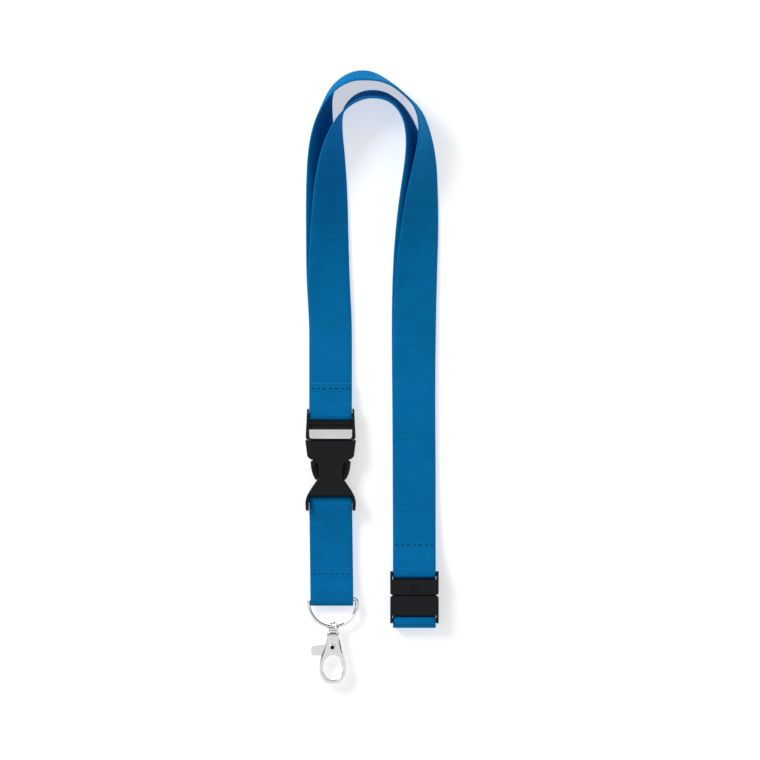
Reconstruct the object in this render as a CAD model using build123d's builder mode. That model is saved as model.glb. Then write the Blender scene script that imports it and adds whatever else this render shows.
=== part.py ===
from build123d import *
import math
import os

# A neck lanyard laid out flat on a table, in millimetres.
# +X runs across it to the right, +Y up along the straps to the neck end, +Z up from the table.
# The origin is on the table under the centre of the whole lanyard.

os.makedirs("parts", exist_ok=True)

# webbing
strap_width = 20.0
strap_thick = 0.9
layer_step = 1.0        # from one layer's middle to the next where two lie together
flat_z = 0.6            # middle of a layer that lies on the table
bar_gap = 0.1           # between a bar and the webbing that wraps it

# columns: the buckle, ring and hook hang in the left one, the breakaway clasp in the right one
left_x = -19.18
buckle_x = -19.14
drop_top_x = -19.16     # the drop strap hangs a little aslant
drop_end_x = -18.6
ring_x = -18.1
right_x = 19.75
clasp_x = 19.8

bar_radius = 1.1        # plastic bars that webbing wraps
wrap_radius = bar_radius + bar_gap + strap_thick / 2

# side-release buckle
buckle_z = 4.2
plug_bar_y = -18.65
socket_bar_y = -58.0
mouth_y = -30.0
rail_inner = 10.1
prong_pivot_y = -34.0

# drop strap, ring and swivel hook
ring_z = 3.5
ring_wire = 0.9
ring_radius = 11.25
ring_bar_y = -103.7
ring_centre_y = -105.6
ring_corner = 1.8
ring_bottom_y = ring_centre_y - ring_radius
collar_top_y = -118.05
hook_top_y = -119.9
hook_bottom_y = -143.4
hook_thick = 5.2
hook_slot = 2.4
rivet_x = ring_x - 0.2
rivet_y = -126.3
rivet_radius = 1.6
gate_reach = 10.6       # from the rivet's axis to the gate's tip

# breakaway clasp
clasp_z = 5.0
clasp_thick = 5.4
clasp_half = 11.28
clasp_slot = 20.3       # width of the slots that the webbing passes
socket_end_y = -102.0
clasp_bar_top = -92.2
clasp_bar_low = -113.75


def finish(part, name):
    """Label a finished piece and write it under its own name."""
    part.label = name
    export_step(part, f"parts/{name}.step")
    print(f"{name}: volume {part.volume:.1f} mm3")


def bend_radii(points):
    """Radius at each corner: 0.45 of the shorter run over the tangent of half the turn."""
    vectors = [Vector(*p) for p in points]
    radii = []
    for before, here, after in zip(vectors, vectors[1:], vectors[2:]):
        half_turn = math.radians((here - before).get_angle(after - here)) / 2
        shorter = min((here - before).length, (after - here).length)
        radii.append(0.45 * shorter / math.tan(half_turn))
    return radii


def lean_at(route, leans, fraction):
    """Lean at a fraction of the length, straight-line between the route's points."""
    runs = [math.dist(a, b) for a, b in zip(route, route[1:])]
    marks = [sum(runs[:count]) / sum(runs) for count in range(len(route))]
    for (start, first), (end, last) in zip(zip(marks, leans), zip(marks[1:], leans[1:])):
        if fraction <= end:
            return first + (last - first) * (fraction - start) / (end - start)
    return leans[-1]


def strap_plane(path, fraction):
    """Section plane whose X points to the outside of the neck loop and Y up."""
    along = path % fraction
    outward = Vector(0, 0, 1).cross(along)
    return Plane(origin=path @ fraction, x_dir=outward, z_dir=along)


def end_profile(points, radii, centre_x):
    """Webbing that folds in a side view (y, z), extruded over the strap's width."""
    with BuildPart() as folded:
        with BuildSketch(Plane.YZ.offset(centre_x)) as side:
            with BuildLine() as middle:
                FilletPolyline(*points, radius=radii)
            trace(line_width=strap_thick)
        extrude(amount=strap_width / 2, both=True)
    return folded.part


# ---- neck strap: two runs of one width, side by side, turning half over round the neck end ----

# A route is the middle line of the webbing, and its list of leans holds how far the webbing is
# turned at each of the route's points, in degrees: 0 face up, 90 on edge, 180 turned over.

outer_route = [
    (-19.18, 25.0, 0.6), (-20.5, 43.0, 2.42), (-21.6, 64.0, 4.9), (-22.6, 86.0, 6.5),
    (-23.4, 106.0, 8.3), (-22.2, 119.5, 9.5), (-18.8, 131.2, 10.2), (-11.6, 138.3, 10.0),
    (-2.4, 139.75, 9.9), (7.2, 136.7, 10.1), (16.0, 130.2, 10.1), (22.4, 122.6, 10.1),
    (24.75, 111.5, 9.85), (24.65, 98.5, 8.85), (23.3, 84.0, 7.3), (22.2, 68.0, 5.6),
    (20.8, 50.0, 4.0), (19.95, 27.0, 2.6), (19.6, 2.0, 1.7), (19.6, -20.0, 1.7),
    (19.75, -40.0, 1.7),
]
outer_leans = [0, 10, 26, 37, 52, 68, 90, 102, 105, 94, 90, 96, 106, 122, 137, 151, 164, 174,
               180, 180, 180]

inner_route = [
    (-19.18, 25.0, 1.7), (-20.0, 42.0, 3.7), (-19.8, 62.0, 5.6), (-19.4, 82.0, 6.5),
    (-18.7, 100.0, 8.25), (-17.0, 114.0, 9.85), (-12.9, 124.3, 10.05), (-5.6, 130.2, 10.0),
    (3.6, 131.0, 10.0), (11.2, 127.2, 10.1), (16.4, 120.2, 10.0), (19.2, 111.0, 9.8),
    (20.5, 99.5, 8.9), (20.3, 86.0, 7.5), (19.9, 70.0, 5.5), (19.4, 53.0, 3.5),
    (19.1, 32.0, 1.95), (19.2, 8.0, 0.7), (19.5, -22.0, 0.6), (19.6, -54.0, 0.6),
    (19.75, -83.8, 0.6),
]
inner_leans = [0, 12, 26, 36, 52, 74, 94, 101, 101, 98, 100, 108, 121, 135, 150, 163, 172, 180,
               180, 180, 180]


def neck_run(route, leans, name):
    """Loft flat strap sections along the route, each leaning as the strap turns over."""
    radii = bend_radii(route)
    print(f"{name} radii:", " ".join(f"{r:.0f}" for r in radii))
    path = FilletPolyline(*route, radius=radii)
    steps = 44
    with BuildPart() as run:
        for index in range(steps + 1):
            fraction = index / steps
            with BuildSketch(strap_plane(path, fraction)):
                Rectangle(strap_width, strap_thick, rotation=lean_at(route, leans, fraction))
        loft(ruled=True)
    swept = path.length * strap_width * strap_thick
    print(f"{name}: length {path.length:.1f}, section x length {swept:.0f}")
    return run.part


outer_run = neck_run(outer_route, outer_leans, "outer_strap")
inner_run = neck_run(inner_route, inner_leans, "inner_strap")

# the outer run's lower left end goes behind, round the buckle plug's bar and up in front as a tab
plug_wrap_y = plug_bar_y - wrap_radius
outer_buckle_end = end_profile(
    [(25.0, 0.6), (4.0, 1.0), (-8.0, 2.1), (-15.0, buckle_z - wrap_radius),
     (plug_wrap_y, buckle_z - wrap_radius), (plug_wrap_y, buckle_z + wrap_radius),
     (-16.5, buckle_z + wrap_radius), (-10.5, 4.45), (-3.5, 3.75)],
    [20, 20, 6, wrap_radius - 0.1, wrap_radius - 0.1, 4, 8], left_x)

# its right end comes down in front, round the clasp socket's bar and back up behind
clasp_wrap_y = clasp_bar_top - wrap_radius
outer_clasp_end = end_profile(
    [(-40.0, 1.7), (-60.0, 2.1), (-72.0, 3.2), (-80.0, 4.0), (-88.5, clasp_z + wrap_radius),
     (clasp_wrap_y, clasp_z + wrap_radius), (clasp_wrap_y, clasp_z - wrap_radius),
     (-89.5, clasp_z - wrap_radius), (-80.0, 2.8), (-73.0, 2.1)],
    [30, 20, 12, 6, wrap_radius - 0.1, wrap_radius - 0.1, 6, 12], right_x)

with BuildPart() as outer_strap:
    add(outer_run)
    add(outer_buckle_end)
    add(outer_clasp_end)
finish(outer_strap.part, "outer_strap")

# the inner run's left end is sewn in between the outer run and its tab
inner_buckle_end = end_profile(
    [(25.0, 1.7), (4.0, 2.0), (-5.0, 2.85), (-12.0, 3.45)], [20, 20], left_x)

with BuildPart() as inner_strap:
    add(inner_run)
    add(inner_buckle_end)
finish(inner_strap.part, "inner_strap")

# past the clasp socket the inner run goes on under the clasp, folds up round the end, wraps the
# clasp plug's bar and runs back on itself as a tail; this stretch moves with the clasp plug
low_wrap_y = clasp_bar_low + wrap_radius
fold_y = -116.85
tail_z = flat_z + layer_step
inner_strap_end = end_profile(
    [(-84.0, flat_z), (fold_y, flat_z), (fold_y, clasp_z + wrap_radius),
     (low_wrap_y, clasp_z + wrap_radius), (low_wrap_y, clasp_z - wrap_radius),
     (fold_y + 1.35, clasp_z - wrap_radius), (fold_y + 1.35, tail_z), (-86.0, tail_z)],
    [2.1, 2.8, wrap_radius - 0.1, wrap_radius - 0.1, 0.8, 0.8], right_x)
finish(inner_strap_end, "inner_strap_end")

# ---- drop strap: one closed band round the buckle socket's bar and the ring's bar ----

drop_fold_y = -106.55   # middle of the webbing where the band folds below the ring's bar
ring_clear = 9.4        # half width of the band where the ring's corners swing past it
fold_low = 2.0
fold_high = 5.0
with BuildPart() as drop_strap:
    with BuildSketch(Plane.YZ.offset(drop_top_x)) as band_side:
        with BuildLine() as band_middle:
            FilletPolyline(
                (-62.0, buckle_z + wrap_radius - 0.05),
                (socket_bar_y + wrap_radius, buckle_z + wrap_radius),
                (socket_bar_y + wrap_radius, buckle_z - wrap_radius),
                (-62.0, buckle_z - wrap_radius), (-69.0, 2.4), (-94.0, 2.2),
                (-99.0, fold_low), (drop_fold_y, fold_low), (drop_fold_y, fold_high),
                (-99.0, fold_high), (-94.0, 3.3), (-69.0, 3.5), close=True,
                radius=[8, wrap_radius - 0.1, wrap_radius - 0.1, 4, 12, 12, 4, 1.4, 1.4, 4, 5, 10])
        trace(line_width=strap_thick)
    extrude(amount=strap_width, both=True)
    # plan of the band: its edges lean with the drop, and it draws in at the ring's bar
    with BuildSketch() as band_plan:
        with BuildLine():
            Polyline((drop_top_x - strap_width / 2, -55.0), (drop_top_x + strap_width / 2, -55.0),
                     (drop_end_x + strap_width / 2, -100.6), (ring_x + ring_clear, -101.6),
                     (ring_x + ring_clear, -108.0), (ring_x - ring_clear, -108.0),
                     (ring_x - ring_clear, -101.6), (drop_end_x - strap_width / 2, -100.6), close=True)
        make_face()
    extrude(amount=10.0, mode=Mode.INTERSECT)
finish(drop_strap.part, "drop_strap")


# ---- stitch rows: the thread's dashes on the faces of the webbing ----

def stitch_row(name, centre_x, row_y, heights, count, pitch, dash):
    """Rounded thread dashes across the strap, one row for each height in the list."""
    with BuildPart() as row:
        for height in heights:
            with BuildSketch(Plane.XY.offset(height)):
                with Locations((centre_x, row_y)):
                    with GridLocations(pitch, 1, count, 1):
                        SlotOverall(dash, 0.5)
            extrude(amount=0.25)
    finish(row.part, name)


stitch_row("join_stitches", left_x, -6.2, [4.42, 1.28], 7, 2.8, 1.6)
stitch_row("outer_end_stitches", right_x, -78.8, [4.28, 2.03], 7, 2.75, 1.7)
stitch_row("inner_tail_stitches", right_x, -88.4, [tail_z + 0.4], 7, 2.75, 1.7)
stitch_row("drop_stitches", drop_end_x - 0.1, -92.3, [3.9], 7, 2.65, 1.7)


# ---- side-release buckle ----

plug_low = 1.8          # the parts that go inside the socket lie between these heights
plug_high = 6.6

crossbar_top = -23.1
crossbar_low = -25.1
window_low = -29.35

with BuildPart() as buckle_plug:
    # frame: two rails that widen downwards, joined by the shoulder that meets the socket's mouth
    with BuildSketch(Plane.XY.offset(1.0)) as frame_outline:
        with BuildLine():
            Polyline((buckle_x - 10.95, -15.4), (buckle_x + 10.95, -15.4), (buckle_x + 11.6, -28.6),
                     (buckle_x + 11.1, mouth_y + 0.1), (buckle_x - 11.1, mouth_y + 0.1),
                     (buckle_x - 11.6, -28.6), close=True)
        make_face()
        with BuildLine():
            Polyline((buckle_x - rail_inner, -14.0), (buckle_x + rail_inner, -14.0),
                     (buckle_x + rail_inner, -23.6), (buckle_x - rail_inner, -23.6), close=True)
        make_face(mode=Mode.SUBTRACT)
        with Locations((buckle_x, (crossbar_top + window_low) / 2)):
            RectangleRounded(2 * 9.95, crossbar_top - window_low, 1.3, mode=Mode.SUBTRACT)
    extrude(amount=6.4)
    fillet(buckle_plug.edges().filter_by(Axis.Z).group_by(Axis.Y)[-1], 0.35)
    fillet(buckle_plug.faces().sort_by(Axis.Z)[-1].outer_wire().edges(), 0.25)
    # crossbar above the window, with a low ledge that reaches back to the webbing's fold
    with BuildSketch(Plane.YZ.offset(buckle_x)):
        with Locations(((crossbar_top + crossbar_low) / 2, plug_low + 2.3)):
            RectangleRounded(crossbar_top - crossbar_low, 4.6, 0.45)
    extrude(amount=rail_inner + 0.25, both=True)
    with BuildSketch(Plane.XY.offset(1.8)):
        with Locations((buckle_x, -22.1)):
            Rectangle(2 * rail_inner + 0.5, 2.2)
    extrude(amount=2.2)
    # thin lip of the ledge under the webbing's fold
    with BuildSketch(Plane.XY.offset(1.0)):
        with Locations((buckle_x, -21.5)):
            Rectangle(2 * rail_inner + 0.5, 3.0)
    extrude(amount=1.0)
    # bar that the neck webbing wraps
    with BuildSketch(Plane.YZ.offset(buckle_x)):
        with Locations((plug_bar_y, buckle_z)):
            Circle(bar_radius)
    extrude(amount=rail_inner + 0.3, both=True)
    # block inside the mouth and the guide blade between the prongs
    with BuildSketch(Plane.XY.offset(plug_low)):
        with Locations((buckle_x, -31.4)):
            Rectangle(18.8, 3.4)
        with Locations((buckle_x, -39.5)):
            Rectangle(3.4, 13.6)
    extrude(amount=plug_high - plug_low)
finish(buckle_plug.part, "buckle_plug")


with BuildPart() as left_prong:
    # spring arm with a rounded push button near its tip
    with BuildSketch(Plane.XY.offset(plug_low)):
        with BuildLine():
            Polyline((buckle_x - 6.7, prong_pivot_y), (buckle_x - 6.7, -40.6), (buckle_x - 6.3, -44.0),
                     (buckle_x - 5.8, -48.2), (buckle_x - 6.8, -48.6))
            Spline((buckle_x - 6.8, -48.6), (buckle_x - 8.35, -45.8), (buckle_x - 9.1, -42.6),
                   (buckle_x - 9.3, -40.0))
            Polyline((buckle_x - 9.3, -40.0), (buckle_x - 8.4, -39.5), (buckle_x - 8.3, prong_pivot_y))
            ThreePointArc((buckle_x - 8.3, prong_pivot_y), (buckle_x - 7.5, prong_pivot_y + 0.8),
                          (buckle_x - 6.7, prong_pivot_y))
        make_face()
    extrude(amount=plug_high - plug_low)
    fillet(left_prong.faces().sort_by(Axis.Z)[-1].edges(), 0.25)
    # hollow in the button's upper face
    with BuildSketch(Plane.XY.offset(plug_high - 1.4)):
        with Locations((buckle_x - 7.25, -43.4)):
            Ellipse(0.7, 2.3)
    extrude(amount=1.4, mode=Mode.SUBTRACT)
finish(left_prong.part, "left_prong")
finish(mirror(left_prong.part, about=Plane.YZ.offset(buckle_x)), "right_prong")

slot_top_y = -55.72
rail_end_y = -62.2


def outside_slot(edges):
    """The edges that don't border the slot between the socket's rails."""
    return [edge for edge in edges
            if edge.center().Y > slot_top_y + 0.1 or abs(edge.center().X - buckle_x) > rail_inner + 0.1]


with BuildPart() as buckle_socket:
    # outline: collar, lips round the two button windows, waist, and the rails that hold the drop strap
    with BuildSketch() as socket_outline:
        with BuildLine() as socket_half:
            Polyline((buckle_x, mouth_y), (buckle_x + 11.8, mouth_y), (buckle_x + 10.85, -37.6),
                     (buckle_x + 9.3, -38.95))
            ThreePointArc((buckle_x + 9.3, -38.95), (buckle_x + 6.75, -40.15), (buckle_x + 5.65, -42.9))
            Line((buckle_x + 5.65, -42.9), (buckle_x + 5.6, -46.8))
            Spline((buckle_x + 5.6, -46.8), (buckle_x + 6.35, -48.6), (buckle_x + 9.7, -53.5),
                   (buckle_x + 11.3, -56.8), (buckle_x + 11.75, -60.0), (buckle_x + 11.6, rail_end_y),
                   tangents=((0, -1), (0, -1)))
            Polyline((buckle_x + 11.6, rail_end_y), (buckle_x + 11.3, rail_end_y - 0.6),
                     (buckle_x + rail_inner + 0.25, rail_end_y - 0.6), (buckle_x + rail_inner, rail_end_y),
                     (buckle_x + rail_inner, slot_top_y), (buckle_x, slot_top_y), (buckle_x, mouth_y))
        make_face()
        mirror(about=Plane.YZ.offset(buckle_x))
    extrude(amount=2 * buckle_z)
    fillet(outside_slot(buckle_socket.faces().sort_by(Axis.Z)[-1].edges()), 0.65)
    fillet(outside_slot(buckle_socket.faces().sort_by(Axis.Z)[0].edges()), 0.4)
    # throat for the plug, open at the mouth and at both windows
    throat_end_y = -48.9
    with BuildSketch(Plane.XY.offset(plug_low - 0.3)):
        with Locations((buckle_x, (mouth_y + throat_end_y) / 2)):
            Rectangle(19.6, mouth_y - throat_end_y)
    extrude(amount=plug_high - plug_low + 0.6, mode=Mode.SUBTRACT)
    # floor under the buttons, and the lip under the drop strap's fold
    with BuildSketch(Plane.XY.offset(0.4)):
        with BuildLine():
            Polyline((buckle_x - 8.5, -39.6), (buckle_x + 8.5, -39.6), (buckle_x + 8.1, -43.6),
                     (buckle_x + 6.4, -48.2), (buckle_x - 6.4, -48.2), (buckle_x - 8.1, -43.6),
                     close=True)
        make_face()
        with Locations((buckle_x, -56.1)):
            Rectangle(2 * rail_inner + 0.4, 1.6)
    extrude(amount=0.9)
    # bar that the drop strap wraps
    with BuildSketch(Plane.YZ.offset(buckle_x)):
        with Locations((socket_bar_y, buckle_z)):
            Circle(bar_radius)
    extrude(amount=rail_inner + 0.8, both=True)
finish(buckle_socket.part, "buckle_socket")


# ---- breakaway clasp ----

clasp_low = clasp_z - clasp_thick / 2
clasp_high = clasp_z + clasp_thick / 2
tongue_half = 7.2
tongue_thick = 1.8
stud_y = -99.0
notch = 0.8
socket_slot_low = -94.75
plug_slot_top = -111.45
plug_end_y = -115.1

with BuildPart() as clasp_socket:
    with BuildSketch(Plane.XY.offset(clasp_low)):
        with BuildLine():
            Polyline((clasp_x - clasp_half, -90.9), (clasp_x + clasp_half, -90.9),
                     (clasp_x + clasp_half, socket_end_y + notch),
                     (clasp_x + clasp_half - notch, socket_end_y),
                     (clasp_x - clasp_half + notch, socket_end_y),
                     (clasp_x - clasp_half, socket_end_y + notch), close=True)
        make_face()
    extrude(amount=clasp_thick)
    fillet(clasp_socket.faces().sort_by(Axis.Z)[-1].edges(), 0.5)
    with BuildSketch(Plane.XY.offset(clasp_low)):
        with Locations((clasp_x, socket_slot_low + 2.3)):
            Rectangle(clasp_slot, 4.6)
    extrude(amount=clasp_thick, mode=Mode.SUBTRACT)
    # pocket for the tongue, with a groove and a hole for its stud
    with BuildSketch(Plane.XZ.offset(-socket_end_y)):
        with Locations((clasp_x, clasp_z)):
            Rectangle(2 * tongue_half + 0.3, tongue_thick + 0.3)
        with Locations((clasp_x, clasp_z + 1.1)):
            Rectangle(3.4, 1.8)
    extrude(amount=-6.0, mode=Mode.SUBTRACT)
    with BuildSketch(Plane.XY.offset(clasp_z)):
        with Locations((clasp_x, stud_y)):
            Circle(1.6)
    extrude(amount=clasp_thick, mode=Mode.SUBTRACT)
    with BuildSketch(Plane.YZ.offset(clasp_x)):
        with Locations((clasp_bar_top, clasp_z)):
            Circle(bar_radius)
    extrude(amount=10.5, both=True)
finish(clasp_socket.part, "clasp_socket")

plug_top_y = socket_end_y - 0.25
with BuildPart() as clasp_plug:
    with BuildSketch(Plane.XY.offset(clasp_low)):
        with BuildLine():
            Polyline((clasp_x - clasp_half + notch, plug_top_y),
                     (clasp_x + clasp_half - notch, plug_top_y),
                     (clasp_x + clasp_half, plug_top_y - notch), (clasp_x + clasp_half, plug_end_y),
                     (clasp_x - clasp_half, plug_end_y), (clasp_x - clasp_half, plug_top_y - notch),
                     close=True)
        make_face()
    extrude(amount=clasp_thick)
    fillet(clasp_plug.faces().sort_by(Axis.Z)[-1].edges(), 0.5)
    with BuildSketch(Plane.XY.offset(clasp_low)):
        with Locations((clasp_x, plug_slot_top - 2.5)):
            Rectangle(clasp_slot, 5.0)
    extrude(amount=clasp_thick, mode=Mode.SUBTRACT)
    with BuildSketch(Plane.YZ.offset(clasp_x)):
        with Locations((clasp_bar_low, clasp_z)):
            Circle(bar_radius)
    extrude(amount=10.5, both=True)
    # tongue with its snap stud
    with BuildSketch(Plane.XY.offset(clasp_z - tongue_thick / 2)):
        with Locations((clasp_x, plug_top_y + 2.2)):
            Rectangle(2 * tongue_half, 6.6)
    extrude(amount=tongue_thick)
    with BuildSketch(Plane.XY.offset(clasp_z)):
        with Locations((clasp_x, stud_y)):
            Circle(1.45)
    extrude(amount=1.8)
finish(clasp_plug.part, "clasp_plug")


# ---- D-ring and swivel hook ----

with BuildPart() as d_ring:
    bar_half = math.sqrt(ring_radius ** 2 - (ring_bar_y - ring_centre_y) ** 2)
    with BuildLine(Plane.XY.offset(ring_z)) as ring_path:
        Line((ring_x - bar_half, ring_bar_y), (ring_x + bar_half, ring_bar_y))
        ThreePointArc((ring_x + bar_half, ring_bar_y), (ring_x, ring_bottom_y),
                      (ring_x - bar_half, ring_bar_y))
        fillet(ring_path.vertices(), ring_corner)
    ring_start = ring_path.wire() ^ 0.0
    with BuildSketch(Plane(origin=ring_start.position, z_dir=ring_path.wire() % 0.0)):
        Circle(ring_wire)
    sweep(path=ring_path.wire())
finish(d_ring.part, "d_ring")

eye_wire = 0.7
eye_half = 2.7          # from the loop's middle line to its axis
eye_turn = math.radians(45)     # the loop stands turned about the swivel axis
eye_top_y = -115.0
eye_foot_y = collar_top_y - 0.4
collar_radius = 3.35
collar_low_y = -119.4
neck_radius = 1.5
with BuildPart() as swivel_eye:
    # plane through the swivel axis, turned so that the ring's wire passes through the loop
    loop_plane = Plane(origin=(ring_x, 0, ring_z), x_dir=(math.sin(eye_turn), 0, math.cos(eye_turn)),
                       z_dir=(-math.cos(eye_turn), 0, math.sin(eye_turn)))
    with BuildLine(loop_plane) as loop_path:
        FilletPolyline((-eye_half, eye_foot_y), (-eye_half, eye_top_y), (eye_half, eye_top_y),
                       (eye_half, eye_foot_y), radius=eye_half - 0.05)
    with BuildSketch(Plane(origin=loop_path.wire() @ 0, z_dir=loop_path.wire() % 0)):
        Circle(eye_wire)
    sweep(path=loop_path.wire())
    # collar, neck and the head that is spread inside the hook
    with BuildSketch(Plane.XY.offset(ring_z)) as collar_section:
        with BuildLine():
            Polyline((ring_x, collar_top_y), (ring_x + collar_radius - 0.4, collar_top_y),
                     (ring_x + collar_radius, collar_top_y - 0.4),
                     (ring_x + collar_radius, collar_low_y + 0.2),
                     (ring_x + collar_radius - 0.2, collar_low_y), (ring_x + neck_radius, collar_low_y),
                     (ring_x + neck_radius, -121.9), (ring_x + 1.9, -122.1), (ring_x + 1.9, -122.7),
                     (ring_x, -122.7), close=True)
        make_face()
    revolve(axis=Axis((ring_x, 0, ring_z), (0, 1, 0)))
finish(swivel_eye.part, "swivel_eye")

hook_low = ring_z - hook_thick / 2
nose_reach = gate_reach + 0.2


def beside_rivet(reach, across):
    """Point at a given reach from the rivet's axis, with its sideways distance given, below it."""
    return (rivet_x + across, rivet_y - math.sqrt(reach ** 2 - across ** 2))


with BuildPart() as hook_body:
    with BuildSketch(Plane.XY.offset(hook_low)):
        with BuildLine():
            Polyline((ring_x, hook_top_y), (ring_x + 2.95, hook_top_y))
            Spline((ring_x + 2.95, hook_top_y), (ring_x + 3.5, -124.4), (ring_x + 4.75, -128.8),
                   (ring_x + 5.95, -132.0), (ring_x + 6.45, -135.6), (ring_x + 6.1, -138.9),
                   (ring_x + 4.3, -141.9), (ring_x, hook_bottom_y), tangents=((0.05, -1), (-1, 0)))
            Line((ring_x, hook_bottom_y), (ring_x, hook_top_y))
        make_face()
        mirror(about=Plane.YZ.offset(ring_x))
    extrude(amount=hook_thick)
    fillet(hook_body.faces().sort_by(Axis.Z)[-1].edges(), 1.0)
    fillet(hook_body.faces().sort_by(Axis.Z)[0].edges(), 1.0)
    # opening for what the hook carries
    with BuildSketch(Plane.XY.offset(hook_low)):
        with Locations((ring_x + 0.05, -135.75)):
            Ellipse(4.6, 5.75)
    extrude(amount=hook_thick, mode=Mode.SUBTRACT)
    fillet(hook_body.edges().filter_by(GeomType.ELLIPSE), 0.5)
    # gap in the right side that the gate closes, with the nose's end round the rivet's axis
    with BuildSketch(Plane.XY.offset(hook_low)):
        with BuildLine():
            Polyline(beside_rivet(nose_reach, 4.0), (ring_x + 2.9, -131.8), (ring_x + 2.2, -129.0),
                     (ring_x + 9.0, -129.0), beside_rivet(nose_reach, 8.6))
            ThreePointArc(beside_rivet(nose_reach, 8.6), beside_rivet(nose_reach, 6.4),
                          beside_rivet(nose_reach, 4.0))
        make_face()
    extrude(amount=hook_thick, mode=Mode.SUBTRACT)
    # slot between the two cheeks for the gate's hub and lever
    with BuildSketch(Plane.XY.offset(ring_z - hook_slot / 2)):
        with Locations((ring_x, -126.95)):
            Rectangle(16.0, 8.9)
    extrude(amount=hook_slot, mode=Mode.SUBTRACT)
    # relief line beside the gate on the front cheek
    with BuildSketch(Plane.XY.offset(ring_z + hook_thick / 2 - 0.8)):
        with BuildLine():
            Polyline((ring_x + 2.95, -121.2), (ring_x + 3.35, -121.2), (ring_x + 4.3, -127.2),
                     (ring_x + 4.0, -127.2), close=True)
        make_face()
    extrude(amount=1.0, mode=Mode.SUBTRACT)
    # bore for the swivel's neck and room for its head
    with BuildSketch(Plane.XZ.offset(-hook_top_y)):
        with Locations((ring_x, ring_z)):
            Circle(neck_radius + 0.05)
    extrude(amount=3.0, mode=Mode.SUBTRACT)
    with BuildSketch(Plane.XZ.offset(121.7)):
        with Locations((ring_x, ring_z)):
            Circle(2.1)
    extrude(amount=1.4, mode=Mode.SUBTRACT)
    with BuildSketch(Plane.XY.offset(hook_low)):
        with Locations((rivet_x, rivet_y)):
            Circle(rivet_radius + 0.02)
    extrude(amount=hook_thick, mode=Mode.SUBTRACT)
finish(hook_body.part, "hook_body")

gate_thick = hook_slot - 0.2
hub_radius = 2.75
lever_end_x = rivet_x - 9.9
with BuildPart() as gate_lever:
    with BuildSketch(Plane.XY.offset(ring_z - gate_thick / 2)):
        # thumb lever out of the left side, with a rounded pad
        with BuildLine():
            Polyline((rivet_x, -124.2), (lever_end_x, -125.8), (lever_end_x, -130.3),
                     (rivet_x - 5.4, -130.1), (rivet_x, -128.9), close=True)
        make_face()
    extrude(amount=gate_thick)
    fillet(gate_lever.edges().filter_by(Axis.Z).group_by(Axis.X)[0], 1.4)
    with BuildSketch(Plane.XY.offset(ring_z - gate_thick / 2)):
        with Locations((rivet_x, rivet_y)):
            Circle(hub_radius)
        # gate arm down the right side to the hook's nose, ended round the rivet's axis
        with BuildLine():
            Polyline(beside_rivet(gate_reach, 4.5), (ring_x + 3.4, -131.2), (rivet_x + 0.8, -128.6),
                     (rivet_x + 2.6, -126.0), (ring_x + 4.7, -129.2), (ring_x + 6.05, -133.6),
                     beside_rivet(gate_reach, 6.3))
            ThreePointArc(beside_rivet(gate_reach, 6.3), beside_rivet(gate_reach, 5.4),
                          beside_rivet(gate_reach, 4.5))
        make_face()
    extrude(amount=gate_thick)
    with BuildSketch(Plane.XY.offset(ring_z - gate_thick / 2)):
        with Locations((rivet_x, rivet_y)):
            Circle(rivet_radius + 0.05)
    extrude(amount=gate_thick, mode=Mode.SUBTRACT)
    # recess for the spring
    with BuildSketch(Plane.XY.offset(ring_z - 0.2)):
        with Locations((rivet_x, rivet_y)):
            Circle(2.35)
    extrude(amount=gate_thick, mode=Mode.SUBTRACT)
finish(gate_lever.part, "gate_lever")

with BuildPart() as gate_rivet:
    with BuildSketch(Plane.XY.offset(hook_low - 0.1)):
        with Locations((rivet_x, rivet_y)):
            Circle(rivet_radius)
    extrude(amount=hook_thick + 0.2)
    # blind dimple that the setting tool leaves
    with BuildSketch(Plane.XY.offset(ring_z + 1.2)):
        with Locations((rivet_x, rivet_y)):
            Circle(0.85)
    extrude(amount=hook_thick, mode=Mode.SUBTRACT)
    fillet(gate_rivet.faces().sort_by(Axis.Z)[-1].edges(), 0.2)
finish(gate_rivet.part, "gate_rivet")

spring_wire = 0.15
spring_pitch = 0.28
with BuildPart() as gate_spring:
    # three close turns round the rivet
    for turn in range(3):
        with Locations((rivet_x, rivet_y, ring_z + turn * spring_pitch)):
            Torus(rivet_radius + 0.25 + spring_wire, spring_wire)
finish(gate_spring.part, "gate_spring")
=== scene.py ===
import math
import bpy
import numpy as np
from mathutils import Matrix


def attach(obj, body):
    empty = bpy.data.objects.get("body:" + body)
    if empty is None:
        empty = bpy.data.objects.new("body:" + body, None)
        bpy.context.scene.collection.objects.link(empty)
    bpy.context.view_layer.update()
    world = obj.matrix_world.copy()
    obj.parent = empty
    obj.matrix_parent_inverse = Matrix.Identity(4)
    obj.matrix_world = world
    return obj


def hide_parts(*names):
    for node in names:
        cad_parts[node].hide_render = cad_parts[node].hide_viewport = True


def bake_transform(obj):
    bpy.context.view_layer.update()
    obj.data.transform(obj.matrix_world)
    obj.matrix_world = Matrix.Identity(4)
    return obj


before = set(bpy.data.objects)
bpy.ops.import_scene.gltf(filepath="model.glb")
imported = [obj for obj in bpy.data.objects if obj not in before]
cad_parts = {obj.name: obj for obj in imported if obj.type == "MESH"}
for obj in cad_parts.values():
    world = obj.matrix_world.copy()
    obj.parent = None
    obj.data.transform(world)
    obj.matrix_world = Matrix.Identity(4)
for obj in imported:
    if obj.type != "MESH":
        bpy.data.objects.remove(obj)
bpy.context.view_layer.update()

mm = 0.001
print("stage: frame loaded,", len(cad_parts), "nodes")

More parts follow.
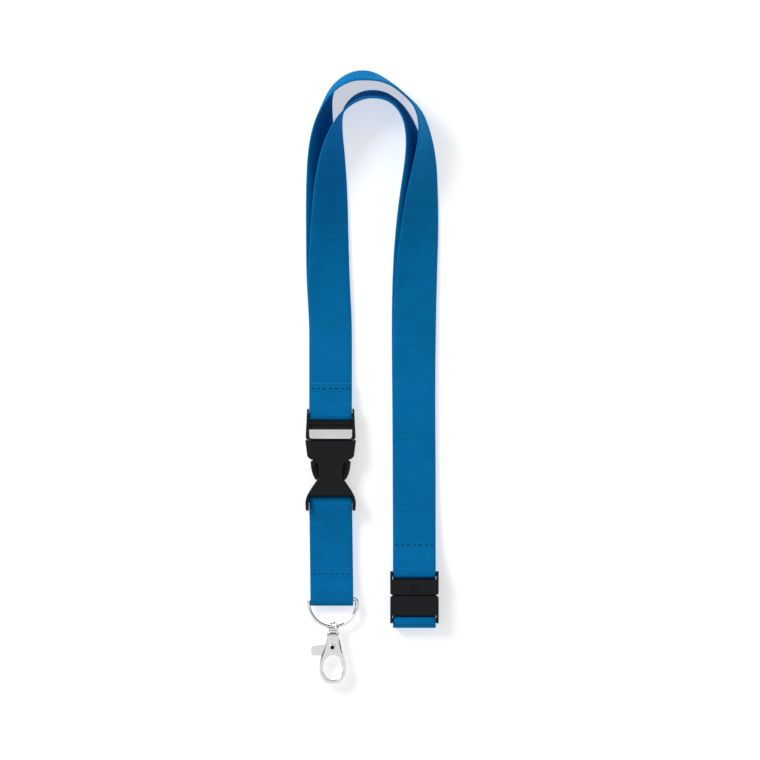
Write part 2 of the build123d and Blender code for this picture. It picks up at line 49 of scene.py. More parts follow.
# Points of the smooth spline that has the given points as its control points.
def splinePoints(controlPoints, samplesEach=24, closed=False):
    curve = bpy.data.curves.new("route", "CURVE")
    curve.dimensions = "3D"
    curve.resolution_u = samplesEach
    line = curve.splines.new("NURBS")
    line.points.add(len(controlPoints) - 1)
    packed = np.ones((len(controlPoints), 4))
    packed[:, :3] = controlPoints
    line.points.foreach_set("co", packed.ravel())
    line.order_u = 3
    line.use_endpoint_u = not closed
    line.use_cyclic_u = closed
    holder = bpy.data.objects.new("route", curve)
    mesh = bpy.data.meshes.new_from_object(holder)
    found = np.empty(len(mesh.vertices) * 3)
    mesh.vertices.foreach_get("co", found)
    bpy.data.meshes.remove(mesh)
    bpy.data.objects.remove(holder)
    bpy.data.curves.remove(curve)
    return found.reshape(-1, 3)


# Unit vectors along the last axis.
def unit(vectors):
    return vectors / np.linalg.norm(vectors, axis=-1, keepdims=True)


# Width direction at each point of a neck run: the outward horizontal turned up by the lean.
def leanDirections(points, leans):
    along = unit(np.gradient(np.array(points), axis=0))
    outward = unit(np.cross([0.0, 0.0, 1.0], along))
    upward = np.cross(along, outward)
    angle = np.radians(leans)[:, None]
    return np.cos(angle) * outward + np.sin(angle) * upward


class NodeBench:
    # Lays out nodes in one tree with short calls.
    def __init__(self, tree):
        self.tree = tree

    def add(self, kind, **settings):
        node = self.tree.nodes.new(kind)
        for key, value in settings.items():
            setattr(node, key, value)
        return node

    def put(self, socket, value):
        if isinstance(value, bpy.types.NodeSocket):
            self.tree.links.new(value, socket)
        else:
            socket.default_value = value

    def math(self, operation, first, second=0.0):
        node = self.add("ShaderNodeMath", operation=operation)
        self.put(node.inputs[0], first)
        self.put(node.inputs[1], second)
        return node.outputs[0]

    def blendColour(self, factor, first, second, mode="MIX"):
        node = self.add("ShaderNodeMix", data_type="RGBA", blend_type=mode)
        self.put(node.inputs[0], factor)
        self.put(node.inputs[6], first)
        self.put(node.inputs[7], second)
        return node.outputs[2]

    def rescale(self, value, low, high, newLow, newHigh):
        node = self.add("ShaderNodeMapRange")
        for socket, number in zip(node.inputs, (value, low, high, newLow, newHigh)):
            self.put(socket, number)
        return node.outputs[0]

    def noise(self, vector, scale, detail=3.0, roughness=0.5):
        node = self.add("ShaderNodeTexNoise")
        self.put(node.inputs["Vector"], vector)
        node.inputs["Scale"].default_value = scale
        node.inputs["Detail"].default_value = detail
        node.inputs["Roughness"].default_value = roughness
        return node.outputs[0]

    def bump(self, height, strength, distance, normal=None):
        node = self.add("ShaderNodeBump")
        node.inputs["Strength"].default_value = strength
        node.inputs["Distance"].default_value = distance
        self.put(node.inputs["Height"], height)
        if normal is not None:
            self.put(node.inputs["Normal"], normal)
        return node.outputs[0]


# Starts a group with named float or vector sockets and hands back its bench and ends.
def openGroup(name, takes, gives):
    tree = bpy.data.node_groups.new(name, "ShaderNodeTree")
    for label, kind in takes:
        tree.interface.new_socket(label, in_out="INPUT", socket_type=kind)
    for label, kind in gives:
        tree.interface.new_socket(label, in_out="OUTPUT", socket_type=kind)
    bench = NodeBench(tree)
    return bench, bench.add("NodeGroupInput").outputs, bench.add("NodeGroupOutput").inputs


# Woven ribs. The first coordinate runs along the webbing and the second across it, in metres.
# Ribs are rectified sine waves along the length; in every second column of threads they are
# shifted by half a rib, and a finer wave across the width is the threads themselves.
def buildRibGroup():
    bench, given, out = openGroup("wovenRibs", [
        ("Along And Across", "NodeSocketVector"), ("Rib Pitch", "NodeSocketFloat"),
        ("Thread Pitch", "NodeSocketFloat")],
        [("Height", "NodeSocketFloat"), ("Shade", "NodeSocketFloat")])
    split = bench.add("ShaderNodeSeparateXYZ")
    bench.put(split.inputs[0], given["Along And Across"])
    wobble = bench.noise(given["Along And Across"], 420.0, 2.0)
    along = bench.math("ADD", split.outputs[0], bench.math("MULTIPLY", wobble, 0.00022))
    across = split.outputs[1]
    ribs = bench.math("ABSOLUTE", bench.math("SINE", bench.math(
        "MULTIPLY", bench.math("DIVIDE", along, given["Rib Pitch"]), math.pi)))
    column = bench.math("FLOOR", bench.math("DIVIDE", across, given["Thread Pitch"]))
    shifted = bench.math("ADD", bench.math("DIVIDE", along, given["Rib Pitch"]),
                         bench.math("MULTIPLY", column, 0.5))
    bricks = bench.math("ABSOLUTE", bench.math("SINE", bench.math("MULTIPLY", shifted, math.pi)))
    threads = bench.math("ABSOLUTE", bench.math("SINE", bench.math(
        "MULTIPLY", bench.math("DIVIDE", across, given["Thread Pitch"]), math.pi)))
    height = bench.math("ADD", bench.math("MULTIPLY", ribs, 0.62), bench.math(
        "ADD", bench.math("MULTIPLY", bricks, 0.2), bench.math("MULTIPLY", threads, 0.18)))
    bench.put(out["Height"], height)
    # Shade is the rib height, used as painted shade in the hollows and painted light on the tops,
    # mixed with fine noise for the threads' own unevenness.
    fuzz = bench.noise(given["Along And Across"], 2600.0, 2.0)
    bench.put(out["Shade"], bench.math("ADD", bench.math("MULTIPLY", height, 0.75),
                                       bench.math("MULTIPLY", fuzz, 0.25)))
    return bench.tree


# Slow unevenness from three sizes of noise, for dye, moulding and handling.
def buildVariationGroup():
    bench, given, out = openGroup("slowVariation", [
        ("Place", "NodeSocketVector"), ("Scale", "NodeSocketFloat")],
        [("Value", "NodeSocketFloat")])
    total = 0.0
    for factor, share in ((1.0, 0.5), (3.1, 0.3), (9.7, 0.2)):
        node = bench.add("ShaderNodeTexNoise")
        bench.put(node.inputs["Vector"], given["Place"])
        bench.put(node.inputs["Scale"], bench.math("MULTIPLY", given["Scale"], factor))
        total = bench.math("ADD", total, bench.math("MULTIPLY", node.outputs[0], share))
    bench.put(out["Value"], total)
    return bench.tree


ribGroup = buildRibGroup()
variationGroup = buildVariationGroup()


# Starts a material with its own principled shader and hands back the bench and shader.
def openMaterial(name):
    material = bpy.data.materials.new(name)
    material.use_nodes = True
    tree = material.node_tree
    shader = next(node for node in tree.nodes if node.type == "BSDF_PRINCIPLED")
    return material, NodeBench(tree), shader


def placeVariation(bench, place, scale):
    node = bench.add("ShaderNodeGroup", node_tree=variationGroup)
    bench.put(node.inputs["Place"], place)
    node.inputs["Scale"].default_value = scale
    return node.outputs["Value"]


webbingLook = {
    "ribHollowShade": (0.0016, 0.132, 0.345),      # painted shade between the ribs
    "ribTopLit": (0.0034, 0.262, 0.645),     # painted light on top of the ribs
    "melted": (0.02, 0.30, 0.62, 1.0),   # along heat-cut ends
    "ribPitch": 1.05 * mm,
    "threadPitch": 0.42 * mm,
    "ribRelief": 0.12 * mm,
    "lintRelief": 0.04 * mm,
    "rough": 0.82,
    "meltedRough": 0.45,
    "specular": 0.03,
    "sheen": 0.3,
    "sheenRough": 0.25,
    "sheenTint": (0.02, 0.45, 1.0, 1.0),
}


def makeWebbingMaterial(name):
    material, bench, shader = openMaterial(name)
    mapped = bench.add("ShaderNodeUVMap", uv_map="webbing")
    weave = bench.add("ShaderNodeGroup", node_tree=ribGroup)
    bench.put(weave.inputs["Along And Across"], mapped.outputs[0])
    weave.inputs["Rib Pitch"].default_value = webbingLook["ribPitch"]
    weave.inputs["Thread Pitch"].default_value = webbingLook["threadPitch"]
    place = bench.add("ShaderNodeTexCoord").outputs["Object"]
    slow = placeVariation(bench, place, 60.0)
    ribHollowShade = webbingLook["ribHollowShade"] + (1.0,)
    ribTopLit = webbingLook["ribTopLit"] + (1.0,)
    # Painted shade between the ribs and painted light on their tops, taken from the ribs' height.
    shade = bench.rescale(weave.outputs["Shade"], 0.2, 0.9, 0.0, 1.0)
    colour = bench.blendColour(shade, ribHollowShade, ribTopLit)
    faded = bench.rescale(slow, 0.35, 0.65, 0.9, 1.08)
    fadedColour = bench.add("ShaderNodeCombineColor")
    for socket in fadedColour.inputs[:3]:
        bench.put(socket, faded)
    colour = bench.blendColour(1.0, colour, fadedColour.outputs[0], mode="MULTIPLY")
    cut = bench.add("ShaderNodeAttribute", attribute_name="cutEdge").outputs["Fac"]
    colour = bench.blendColour(cut, colour, webbingLook["melted"])
    bench.put(shader.inputs["Base Color"], colour)
    bench.put(shader.inputs["Roughness"], bench.rescale(
        cut, 0.0, 1.0, webbingLook["rough"], webbingLook["meltedRough"]))
    shader.inputs["Specular IOR Level"].default_value = webbingLook["specular"]
    shader.inputs["Sheen Weight"].default_value = webbingLook["sheen"]
    shader.inputs["Sheen Roughness"].default_value = webbingLook["sheenRough"]
    shader.inputs["Sheen Tint"].default_value = webbingLook["sheenTint"]
    ribs = bench.bump(weave.outputs["Height"], 0.55, webbingLook["ribRelief"])
    lint = bench.noise(place, 5200.0, 2.0)
    bench.put(shader.inputs["Normal"], bench.bump(lint, 0.25, webbingLook["lintRelief"], ribs))
    return material


webbingMaterial = makeWebbingMaterial("ribbedWebbing")


# The thread colours are made far darker than the webbing's blue as painted shade of the stitches
# sunk into the webbing. The two colours alternate in bands along the thread's twist.
shadeDarkenedThreadLook = {"dark": (0.0004, 0.014, 0.046, 1.0), "light": (0.0008, 0.036, 0.105, 1.0)}


def makeThreadMaterial():
    material, bench, shader = openMaterial("sewingThread")
    place = bench.add("ShaderNodeTexCoord").outputs["Object"]
    twist = bench.add("ShaderNodeTexWave", wave_type="BANDS", bands_direction="DIAGONAL")
    bench.put(twist.inputs["Vector"], place)
    twist.inputs["Scale"].default_value = 900.0
    twist.inputs["Distortion"].default_value = 1.2
    colour = bench.blendColour(twist.outputs["Fac"], shadeDarkenedThreadLook["dark"], shadeDarkenedThreadLook["light"])
    bench.put(shader.inputs["Base Color"], colour)
    bench.put(shader.inputs["Roughness"], bench.rescale(twist.outputs["Fac"], 0.0, 1.0, 0.75, 0.6))
    shader.inputs["Specular IOR Level"].default_value = 0.05
    bench.put(shader.inputs["Normal"], bench.bump(twist.outputs["Fac"], 0.5, 0.00006))
    return material


threadMaterial = makeThreadMaterial()

plasticLook = {
    "dark": (0.003, 0.0048, 0.006, 1.0),
    "light": (0.0065, 0.0092, 0.011, 1.0),
    "scuffed": (0.03, 0.032, 0.034, 1.0),
    "rough": (0.27, 0.35),
    "specular": 0.2,
    "grainRelief": 0.03 * mm,
}


def makePlasticMaterial():
    material, bench, shader = openMaterial("mouldedBlackPlastic")
    place = bench.add("ShaderNodeTexCoord").outputs["Object"]
    slow = placeVariation(bench, place, 130.0)
    grain = bench.noise(place, 3400.0, 2.0)
    scuff = bench.noise(place, 900.0, 5.0, 0.7)
    marks = bench.rescale(scuff, 0.6, 0.75, 0.0, 1.0)
    shade = bench.math("MULTIPLY", slow, 0.8)
    colour = bench.blendColour(shade, plasticLook["dark"], plasticLook["light"])
    colour = bench.blendColour(bench.math("MULTIPLY", marks, 0.2), colour, plasticLook["scuffed"])
    bench.put(shader.inputs["Base Color"], colour)
    rough = bench.math("ADD", bench.rescale(slow, 0.3, 0.7, *plasticLook["rough"]),
                       bench.math("MULTIPLY", marks, 0.12))
    bench.put(shader.inputs["Roughness"], rough)
    shader.inputs["Specular IOR Level"].default_value = plasticLook["specular"]
    bench.put(shader.inputs["Normal"], bench.bump(grain, 0.3, plasticLook["grainRelief"]))
    return material


plasticMaterial = makePlasticMaterial()


# Share of a point inside a rounded region: 1 inside the radii, 0 outside, from the scaled distance
# to the region's middle.
def buildHollowGroup():
    bench, given, out = openGroup("hollowShade", [
        ("Place", "NodeSocketVector"), ("Middle", "NodeSocketVector"),
        ("Radii", "NodeSocketVector")],
        [("Inside", "NodeSocketFloat")])
    offset = bench.add("ShaderNodeVectorMath", operation="SUBTRACT")
    bench.put(offset.inputs[0], given["Place"])
    bench.put(offset.inputs[1], given["Middle"])
    scaled = bench.add("ShaderNodeVectorMath", operation="DIVIDE")
    bench.put(scaled.inputs[0], offset.outputs[0])
    bench.put(scaled.inputs[1], given["Radii"])
    distance = bench.add("ShaderNodeVectorMath", operation="LENGTH")
    bench.put(distance.inputs[0], scaled.outputs[0])
    bench.put(out["Inside"], bench.rescale(distance.outputs["Value"], 0.9, 1.1, 1.0, 0.0))
    return bench.tree


hollowGroup = buildHollowGroup()


metalLook = {
    "nickel": (0.95, 0.95, 0.94), "nickelRough": (0.07, 0.13),
    "wire": (0.55, 0.55, 0.56), "wireRough": (0.25, 0.35),
    "paintedHollowShade": (0.006, 0.006, 0.007, 1.0),   # painted shade in the groove, dimple and relief line, standing in for their dark shade and reflections
}


# Plated metal. A hollow is a middle and radii in millimetres, and is darkened with painted shade.
def makePlatedMaterial(name, colour, rough, hollows=()):
    material, bench, shader = openMaterial(name)
    place = bench.add("ShaderNodeTexCoord").outputs["Object"]
    slow = placeVariation(bench, place, 240.0)
    scratches = bench.add("ShaderNodeTexNoise")
    stretched = bench.add("ShaderNodeMapping")
    bench.put(stretched.inputs["Vector"], place)
    stretched.inputs["Scale"].default_value = (5200.0, 500.0, 5200.0)
    bench.put(scratches.inputs["Vector"], stretched.outputs[0])
    scratches.inputs["Scale"].default_value = 1.0
    fine = bench.rescale(scratches.outputs[0], 0.55, 0.75, 0.0, 1.0)
    darker = tuple(c * 0.9 for c in colour) + (1.0,)
    tone = bench.blendColour(slow, darker, colour + (1.0,))
    for middle, radii in hollows:
        hollow = bench.add("ShaderNodeGroup", node_tree=hollowGroup)
        bench.put(hollow.inputs["Place"], place)
        hollow.inputs["Middle"].default_value = [c * mm for c in middle]
        hollow.inputs["Radii"].default_value = [c * mm for c in radii]
        tone = bench.blendColour(hollow.outputs["Inside"], tone, metalLook["paintedHollowShade"])
    bench.put(shader.inputs["Base Color"], tone)
    shader.inputs["Metallic"].default_value = 1.0
    bench.put(shader.inputs["Roughness"], bench.math(
        "ADD", bench.rescale(slow, 0.3, 0.7, *rough), bench.math("MULTIPLY", fine, 0.06)))
    bench.put(shader.inputs["Normal"], bench.bump(slow, 0.08, 0.0001))
    return material


def makeNickelMaterial(name, hollows=()):
    return makePlatedMaterial(name, metalLook["nickel"], metalLook["nickelRough"], hollows)


platedMaterial = makeNickelMaterial("nickelPlating")
# The hollows below get painted shade for the dark groove, the dimple and the relief line.
swivelMaterial = makeNickelMaterial("nickelSwivel", [
    ((-18.1, -119.65, 3.5), (2.6, 0.24, 2.6))])        # the groove under the eye
rivetMaterial = makeNickelMaterial("nickelRivet", [
    ((-18.3, -126.3, 5.0), (0.9, 0.9, 1.4))])          # the dimple
hookMaterial = makeNickelMaterial("nickelHook", [
    ((-18.1, -119.9, 3.5), (3.1, 0.16, 2.0)),          # the seat under the groove
    ((-14.5, -124.2, 5.75), (0.75, 3.2, 0.32))])       # the relief line on the cheek
springMaterial = makePlatedMaterial("springWire", metalLook["wire"], metalLook["wireRough"])
print("stage: materials")

webbing = {
    "width": 20.0 * mm,
    "thick": 0.9 * mm,
    "scallop": 0.2 * mm,       # how far each rib's loop stands out at the selvedge
    "spacing": 0.175 * mm,     # between sections along the webbing
    "faceColumns": 8,
    "edgeColumns": 6,
    "cutLength": 0.35 * mm,    # melted stretch at a cut end
}


# Section outline of the webbing, as (across, up) in half widths and half thicknesses:
# two flat faces joined by half rounds at the selvedges.
def webbingOutline():
    halfWidth = webbing["width"] / 2
    halfThick = webbing["thick"] / 2
    flat = halfWidth - halfThick
    faceLine = np.linspace(-flat, flat, webbing["faceColumns"])
    turn = np.linspace(0, math.pi, webbing["edgeColumns"] + 2)[1:-1]
    upper = np.column_stack([faceLine[::-1], np.full(len(faceLine), halfThick)])
    left = np.column_stack([-flat - halfThick * np.sin(turn), halfThick * np.cos(turn)])
    lower = np.column_stack([faceLine, np.full(len(faceLine), -halfThick)])
    right = np.column_stack([flat + halfThick * np.sin(turn), -halfThick * np.cos(turn)])
    return np.concatenate([upper, left, lower, right])


# Webbing carried along a route. The outline is placed at even steps of the spline's length, its
# width along the given directions squared to the line. The selvedge loops are a rectified sine
# of the length. Cupping lifts the middle of the width by its value times 1 - (2v/width)^2.
def webbingRun(name, controlPoints, directions, cupping=None, closed=False):
    line = splinePoints(np.array(controlPoints) * mm, closed=closed)
    widths = splinePoints(np.array(directions), closed=closed)
    cups = np.zeros((len(controlPoints), 3)) if cupping is None else np.column_stack(
        [cupping, np.zeros((len(cupping), 2))])
    cupLine = splinePoints(cups, closed=closed)[:, 0] * mm
    if closed:
        line, widths = np.vstack([line, line[:1]]), np.vstack([widths, widths[:1]])
        cupLine = np.append(cupLine, cupLine[0])
    travel = np.append(0, np.cumsum(np.linalg.norm(np.diff(line, axis=0), axis=1)))
    steps = int(round(travel[-1] / webbing["spacing"]))
    marks = np.linspace(0, travel[-1], steps + 1)
    centre = np.column_stack([np.interp(marks, travel, line[:, k]) for k in range(3)])
    wide = np.column_stack([np.interp(marks, travel, widths[:, k]) for k in range(3)])
    cup = np.interp(marks, travel, cupLine)
    ahead = unit(np.gradient(centre, axis=0))
    if closed:
        ahead[0] = ahead[-1] = unit(ahead[0] + ahead[-1])
    wide = unit(wide - (wide * ahead).sum(1, keepdims=True) * ahead)
    face = np.cross(ahead, wide)
    outline = webbingOutline()
    across, up = outline[:, 0], outline[:, 1]
    halfWidth = webbing["width"] / 2
    loops = np.abs(np.sin(math.pi * marks / webbingLook["ribPitch"]))
    edgeShare = np.clip((np.abs(across) - halfWidth + webbing["thick"]) / webbing["thick"], 0, 1)
    stand = (loops[:, None] - 1.0) * webbing["scallop"] * edgeShare * np.sign(across)
    lift = cup[:, None] * (1 - (across / halfWidth) ** 2)
    verts = (centre[:, None] + wide[:, None] * (across + stand)[..., None]
             + face[:, None] * (up + lift)[..., None])
    if closed:
        verts, marks = verts[:-1], marks[:-1]
    rows, columns = verts.shape[:2]
    grid = np.arange(rows * columns).reshape(rows, columns)
    following = np.roll(grid, -1, axis=0) if closed else grid[1:]
    leading = grid if closed else grid[:-1]
    faces = np.stack([leading, np.roll(leading, -1, axis=1), np.roll(following, -1, axis=1),
                      following], axis=-1).reshape(-1, 4)
    faceList = faces.tolist()
    if not closed:
        faceList += [grid[0, ::-1].tolist(), grid[-1].tolist()]
    mesh = bpy.data.meshes.new(name)
    mesh.from_pydata(verts.reshape(-1, 3).tolist(), [], faceList)
    mesh.polygons.foreach_set("use_smooth", np.ones(len(mesh.polygons), dtype=bool))
    loopVerts = np.empty(len(mesh.loops), dtype=np.int64)
    mesh.loops.foreach_get("vertex_index", loopVerts)
    alongValue = np.repeat(marks, columns)
    acrossValue = np.tile(across, rows)
    mapLayer = mesh.uv_layers.new(name="webbing")
    uv = np.column_stack([alongValue[loopVerts], acrossValue[loopVerts]])
    if closed:
        lastRow = np.repeat(np.arange(len(mesh.polygons)) >= (rows - 1) * columns, 4)
        wrapped = (uv[:, 0] == 0) & lastRow
        uv[wrapped, 0] = travel[-1]
    mapLayer.data.foreach_set("uv", uv.ravel())
    cut = mesh.attributes.new("cutEdge", "FLOAT", "POINT")
    fromEnd = np.minimum(alongValue, travel[-1] - alongValue)
    melted = np.zeros_like(fromEnd) if closed else np.clip(1 - fromEnd / webbing["cutLength"], 0, 1)
    cut.data.foreach_set("value", melted.astype(np.float32))
    mesh.materials.append(webbingMaterial)
    mesh.update()
    piece = bpy.data.objects.new(name, mesh)
    bpy.context.scene.collection.objects.link(piece)
    print(f"stage: {name}, length {travel[-1] / mm:.1f} mm, faces {len(faceList)}")
    return piece, line, travel[-1]


outerRoute = [
    (-19.18, 25.0, 0.6), (-20.5, 43.0, 2.42), (-21.6, 64.0, 4.9), (-22.6, 86.0, 6.5),
    (-23.4, 106.0, 8.3), (-22.2, 119.5, 9.5), (-18.8, 131.2, 10.2), (-11.6, 138.3, 10.0),
    (-2.4, 139.75, 9.9), (7.2, 136.7, 10.1), (16.0, 130.2, 10.1), (22.4, 122.6, 10.1),
    (24.75, 111.5, 9.85), (24.65, 98.5, 8.85), (23.3, 84.0, 7.3), (22.2, 68.0, 5.6),
    (20.8, 50.0, 4.0), (19.95, 27.0, 2.6), (19.6, 2.0, 1.7), (19.6, -20.0, 1.7),
    (19.75, -40.0, 1.7),
]
outerLeans = [0, 10, 26, 37, 52, 68, 90, 102, 105, 94, 90, 96, 106, 122, 137, 151, 164, 174,
              180, 180, 180]
outerCups = [0, 0, 0, 0, -0.6, -1.6, -2.0, -1.2, -0.3, 0.2, 0.3, 0.3, 0.2, 0, 0, 0, 0, 0, 0, 0,
             0]

innerRoute = [
    (-19.18, 25.0, 1.7), (-20.0, 42.0, 3.7), (-19.8, 62.0, 5.6), (-19.4, 82.0, 6.5),
    (-18.7, 100.0, 8.25), (-17.0, 114.0, 9.85), (-12.9, 124.3, 10.05), (-5.6, 130.2, 10.0),
    (3.6, 131.0, 10.0), (11.2, 127.2, 10.1), (16.4, 120.2, 10.0), (19.2, 111.0, 9.8),
    (20.5, 99.5, 8.9), (20.3, 86.0, 7.5), (19.9, 70.0, 5.5), (19.4, 53.0, 3.5),
    (19.1, 32.0, 1.95), (19.2, 8.0, 0.7), (19.5, -22.0, 0.6), (19.6, -54.0, 0.6),
    (19.75, -83.8, 0.6),
]
innerLeans = [0, 12, 26, 36, 52, 74, 94, 101, 101, 98, 100, 108, 121, 135, 150, 163, 172, 180,
              180, 180, 180]
innerCups = [0, 0, 0, 0, 0.2, 0.3, 0, 0.9, 1.1, 0.6, 0.3, 0.2, 0, 0, 0, 0, 0, 0, 0, 0, 0]

leftX = -19.18
rightX = 19.75

# Side views (y, z) of the folded ends, in millimetres, in the order of the webbing's length.
tabEnd = [(-3.5, 3.75), (-10.5, 4.45), (-16.5, 5.85), (-20.3, 5.85), (-20.3, 2.55), (-15.0, 2.55),
          (-8.0, 2.1), (4.0, 1.0)]
claspEnd = [(-60.0, 2.1), (-72.0, 3.2), (-80.0, 4.0), (-88.5, 6.65), (-93.85, 6.65), (-93.85, 3.35),
            (-89.5, 3.35), (-80.0, 2.8), (-73.0, 2.1)]
sewnEnd = [(-12.0, 3.45), (-5.0, 2.85), (4.0, 2.0)]
tailEnd = [(-100.0, 0.6), (-112.0, 0.6), (-116.85, 0.6), (-116.85, 6.65), (-112.1, 6.65),
           (-112.1, 3.35), (-115.5, 3.35), (-115.5, 1.6), (-108.0, 1.6), (-86.0, 1.6)]


# Joins the folded ends to a neck run and gives each added point the sideways width direction.
def joinedRoute(startEnd, startX, route, leans, endEnd, endX):
    sideways = np.array([-1.0, 0.0, 0.0])
    points = [(startX, y, z) for y, z in startEnd] + route + [(endX, y, z) for y, z in endEnd]
    middle = leanDirections(route, leans)
    directions = np.vstack([np.tile(sideways, (len(startEnd), 1)), middle,
                            np.tile(sideways, (len(endEnd), 1))])
    return points, directions


outerPoints, outerWide = joinedRoute(tabEnd, leftX, outerRoute, outerLeans, claspEnd, rightX)
outerCupping = [0] * len(tabEnd) + outerCups + [0] * len(claspEnd)
outerPiece, outerLine, outerLength = webbingRun(
    "outerWebbing", outerPoints, outerWide, outerCupping)
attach(outerPiece, "neck_straps")
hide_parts("outer_strap")

innerPoints, innerWide = joinedRoute(sewnEnd, leftX, innerRoute, innerLeans, tailEnd, rightX)
innerCupping = [0] * len(sewnEnd) + innerCups + [0] * len(tailEnd)
innerPiece, innerLine, innerLength = webbingRun(
    "innerWebbing", innerPoints, innerWide, innerCupping)
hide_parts("inner_strap", "inner_strap_end")
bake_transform(innerPiece)

# The drop band's side view, and the slant of its middle from the buckle's bar to the ring's bar.
drop = {
    "side": [(-62.0, 5.8), (-56.35, 5.85), (-56.35, 2.55), (-62.0, 2.6), (-69.0, 2.4), (-94.0, 2.2),
             (-99.0, 2.0), (-106.55, 2.0), (-106.55, 5.0), (-99.0, 5.0), (-94.0, 3.3),
             (-69.0, 3.5)],
    "topX": -19.16, "endX": -18.6, "topY": -55.0, "endY": -100.6,
}


# x of the band's middle: straight line in y between its two ends.
def dropX(y):
    return float(np.interp(y, [drop["endY"], drop["topY"]], [drop["endX"], drop["topX"]]))


dropPoints = [(dropX(y), y, z) for y, z in drop["side"]]
dropWide = np.tile([-1.0, 0.0, 0.0], (len(dropPoints), 1))
dropPiece = webbingRun("dropWebbing", dropPoints, dropWide, closed=True)[0]
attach(dropPiece, "drop")
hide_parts("drop_strap")

thread = {
    "radius": 0.21 * mm,
    "rise": 0.16 * mm,         # how far the dash stands out at its middle
    "dash": 1.6 * mm,
    "dashesEach": 7,           # in a row
    "ringSides": 10,
    "alongSteps": 14,
}


# One row of thread dashes. Each is a tube along x whose middle line rises as a half sine from
# the webbing's face and whose radius closes to a point at both ends. Each row is given by the
# millimetre place of its middle and 1 or -1 for the face it stands on.
def stitchRow(name, body, node, rows, pitch):
    along = np.linspace(0, 1, thread["alongSteps"])
    around = np.linspace(0, 2 * math.pi, thread["ringSides"], endpoint=False)
    radius = thread["radius"] * np.sqrt(np.clip(1 - (2 * along - 1) ** 6, 1e-4, 1))
    one = np.stack([
        ((along - 0.5) * thread["dash"])[:, None] + 0 * around,
        radius[:, None] * np.cos(around),
        (thread["rise"] * np.sin(math.pi * along))[:, None] + radius[:, None] * np.sin(around),
    ], axis=-1)
    grid = np.arange(one.shape[0] * one.shape[1]).reshape(one.shape[:2])
    sides = np.stack([grid[:-1], grid[1:], np.roll(grid[1:], -1, axis=1),
                      np.roll(grid[:-1], -1, axis=1)], axis=-1).reshape(-1, 4)
    verts, faces = [], []
    for centreX, y, z, facing in rows:
        for index in range(thread["dashesEach"]):
            x = centreX + (index - (thread["dashesEach"] - 1) / 2) * pitch
            shape = one * [1, 1, facing] + np.array([x, y, z]) * mm
            start = len(verts) * grid.size
            turned = sides if facing > 0 else sides[:, ::-1]
            faces += (turned + start).tolist()
            ends = [grid[0].tolist(), grid[-1, ::-1].tolist()]
            for end in ends:
                faces.append([corner + start for corner in (end if facing > 0 else end[::-1])])
            verts.append(shape.reshape(-1, 3))
    mesh = bpy.data.meshes.new(name)
    mesh.from_pydata(np.vstack(verts).tolist(), [], faces)
    mesh.polygons.foreach_set("use_smooth", np.ones(len(mesh.polygons), dtype=bool))
    mesh.materials.append(threadMaterial)
    mesh.update()
    piece = bpy.data.objects.new(name, mesh)
    bpy.context.scene.collection.objects.link(piece)
    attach(piece, body)
    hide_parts(node)


stitchRow("joinThread", "neck_straps", "join_stitches",
          [(leftX, -6.2, 4.42, 1), (leftX, -6.2, 1.55, -1)], 2.8)
stitchRow("clothEndThread", "neck_straps", "outer_end_stitches",
          [(rightX, -78.8, 4.33, 1), (rightX, -78.8, 2.28, -1)], 2.75)
stitchRow("tailThread", "clasp_lower", "inner_tail_stitches", [(rightX, -88.4, 2.0, 1)], 2.75)
stitchRow("dropThread", "drop", "drop_stitches", [(dropX(-92.3), -92.3, 3.78, 1)], 2.65)
print("stage: stitches")

finishes = {
    "buckle_plug": plasticMaterial, "left_prong": plasticMaterial,
    "right_prong": plasticMaterial, "buckle_socket": plasticMaterial,
    "clasp_socket": plasticMaterial, "clasp_plug": plasticMaterial,
    "d_ring": platedMaterial, "swivel_eye": swivelMaterial, "hook_body": hookMaterial,
    "gate_lever": platedMaterial, "gate_rivet": rivetMaterial, "gate_spring": springMaterial,
}
for nodeName, material in finishes.items():
    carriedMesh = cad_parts[nodeName].data
    carriedMesh.materials.clear()
    carriedMesh.materials.append(material)
print("stage: carried-over nodes")

studio = {
    "floorSize": 3.0,         # all lengths here are in metres
    "cameraHeight": 5.0,
    "framedWidth": 0.3534,
    "centre": (0.0038, -0.0021),
    "skyFill": 0.38,          # what the surroundings give to matt surfaces
    "skyGloss": 0.78,         # what shiny surfaces see of them
    "farDark": 0.01,          # the dim far side of the room, beyond the neck end
    "key": 10.4,              # watts
    "floorGlow": 0.5,
}

floorMesh = bpy.data.meshes.new("floor")
half = studio["floorSize"] / 2
floorMesh.from_pydata([(-half, -half, 0), (half, -half, 0), (half, half, 0), (-half, half, 0)],
                      [], [(0, 1, 2, 3)])
floor = bpy.data.objects.new("floor", floorMesh)
bpy.context.scene.collection.objects.link(floor)
floorMaterial, bench, shader = openMaterial("paleFloor")
shader.inputs["Base Color"].default_value = (0.95, 0.95, 0.948, 1.0)
shader.inputs["Roughness"].default_value = 0.9
shader.inputs["Specular IOR Level"].default_value = 0.0
shader.inputs["Emission Color"].default_value = (1.0, 1.0, 1.0, 1.0)
shader.inputs["Emission Strength"].default_value = studio["floorGlow"]
floorMesh.materials.append(floorMaterial)

world = bpy.data.worlds.new("studio")
bpy.context.scene.world = world
world.use_nodes = True
bench = NodeBench(world.node_tree)
towards = bench.add("ShaderNodeSeparateXYZ")
bench.put(towards.inputs[0], bench.add("ShaderNodeTexCoord").outputs["Generated"])
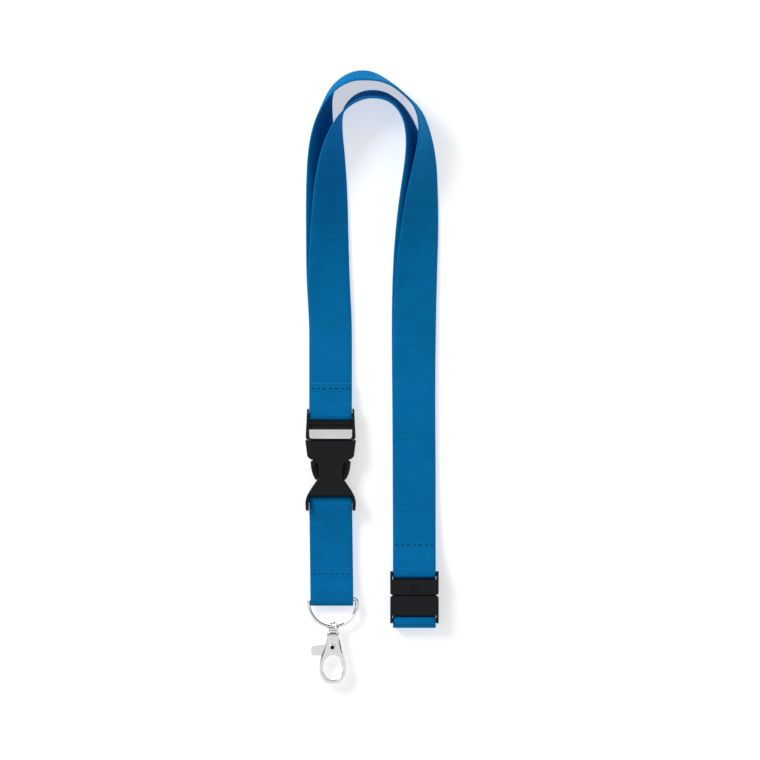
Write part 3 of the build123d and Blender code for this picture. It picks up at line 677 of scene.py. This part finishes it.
# Length of the level part of the direction, so that the far side is a share of the compass
# and not of height.
level = bench.math("SQRT", bench.math("SUBTRACT", 1.0001, bench.math(
    "MULTIPLY", towards.outputs["Z"], towards.outputs["Z"])))
farSide = bench.rescale(bench.math("DIVIDE", towards.outputs["Y"], level), 0.05, 0.35, 0.0, 1.0)
low = bench.rescale(towards.outputs["Z"], 0.72, 0.9, 1.0, 0.0)
shade = bench.rescale(bench.math("MULTIPLY", farSide, low), 0.0, 1.0,
                      studio["skyGloss"], studio["farDark"])
glossy = bench.add("ShaderNodeLightPath").outputs["Is Glossy Ray"]
strength = bench.add("ShaderNodeMix", data_type="FLOAT")
bench.put(strength.inputs[0], glossy)
bench.put(strength.inputs[2], studio["skyFill"])
bench.put(strength.inputs[3], shade)
bench.put(world.node_tree.nodes["Background"].inputs["Strength"], strength.outputs[0])
world.node_tree.nodes["Background"].inputs["Color"].default_value = (1.0, 1.0, 1.0, 1.0)


# A square lamp turned so that it shines at the aim.
def softBox(name, place, aim, size, watts):
    lamp = bpy.data.lights.new(name, "AREA")
    lamp.shape = "RECTANGLE"
    lamp.size = lamp.size_y = size
    lamp.energy = watts
    holder = bpy.data.objects.new(name, lamp)
    bpy.context.scene.collection.objects.link(holder)
    offset = np.array(aim) - np.array(place)
    flatRun = math.hypot(offset[0], offset[1])
    holder.location = place
    holder.rotation_euler = (math.atan2(flatRun, -offset[2]), 0,
                             math.atan2(offset[1], offset[0]) - math.pi / 2)


softBox("keyLight", (-0.9, 0.75, 0.85), (0, 0, 0), 0.6, studio["key"])

cameraData = bpy.data.cameras.new("camera")
sensorWidth = 36.0
cameraData.sensor_width = sensorWidth
cameraData.lens = sensorWidth * studio["cameraHeight"] / studio["framedWidth"]
cameraData.clip_end = 50.0
camera = bpy.data.objects.new("camera", cameraData)
bpy.context.scene.collection.objects.link(camera)
camera.location = (studio["centre"][0], studio["centre"][1], studio["cameraHeight"])
bpy.context.scene.camera = camera
bpy.context.scene.view_settings.view_transform = "Standard"
print("stage: floor, light and camera")
